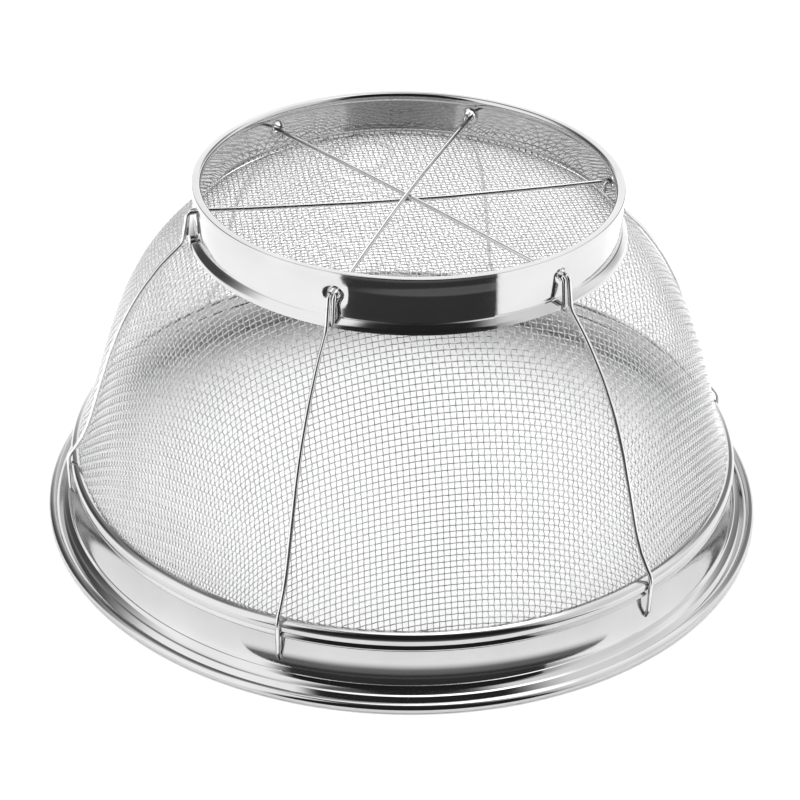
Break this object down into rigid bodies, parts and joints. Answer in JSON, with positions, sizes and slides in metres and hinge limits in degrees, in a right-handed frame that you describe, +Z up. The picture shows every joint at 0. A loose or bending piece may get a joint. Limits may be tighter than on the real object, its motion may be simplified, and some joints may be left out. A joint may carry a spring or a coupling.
{
  "type": "straining bowl",
  "caption": "Round wire-mesh straining bowl with a wide rolled steel rim, a wired foot ring and stiffening wires, standing rim down.",
  "frame": {"origin": "on the axis, on the surface that the rim stands on", "axes": "+Z up the axis from the rim to the foot ring; the side wires leave at -108 degrees from +X and every 60 degrees from there"},
  "size_m": [0.24, 0.24, 0.1147],
  "materials": {
    "polished_sheet": "mirror polished stainless sheet",
    "core_wire": "plain drawn wire",
    "woven_wire": "bright woven stainless wire",
    "drawn_wire": "bright electropolished wire"
  },
  "bodies": {
    "root": {"rim": "polished_sheet", "hem_ring": "polished_sheet", "inner_strip": "polished_sheet", "foot_band": "polished_sheet", "rim_core_wire": "core_wire", "foot_core_wire": "core_wire", "mesh_bowl": "woven_wire", "cross_wire_1": "drawn_wire", "cross_wire_2": "drawn_wire", "cross_wire_3": "drawn_wire", "side_wire_1": "drawn_wire", "side_wire_2": "drawn_wire", "side_wire_3": "drawn_wire", "side_wire_4": "drawn_wire", "side_wire_5": "drawn_wire", "side_wire_6": "drawn_wire"}
  },
  "joints": []
}
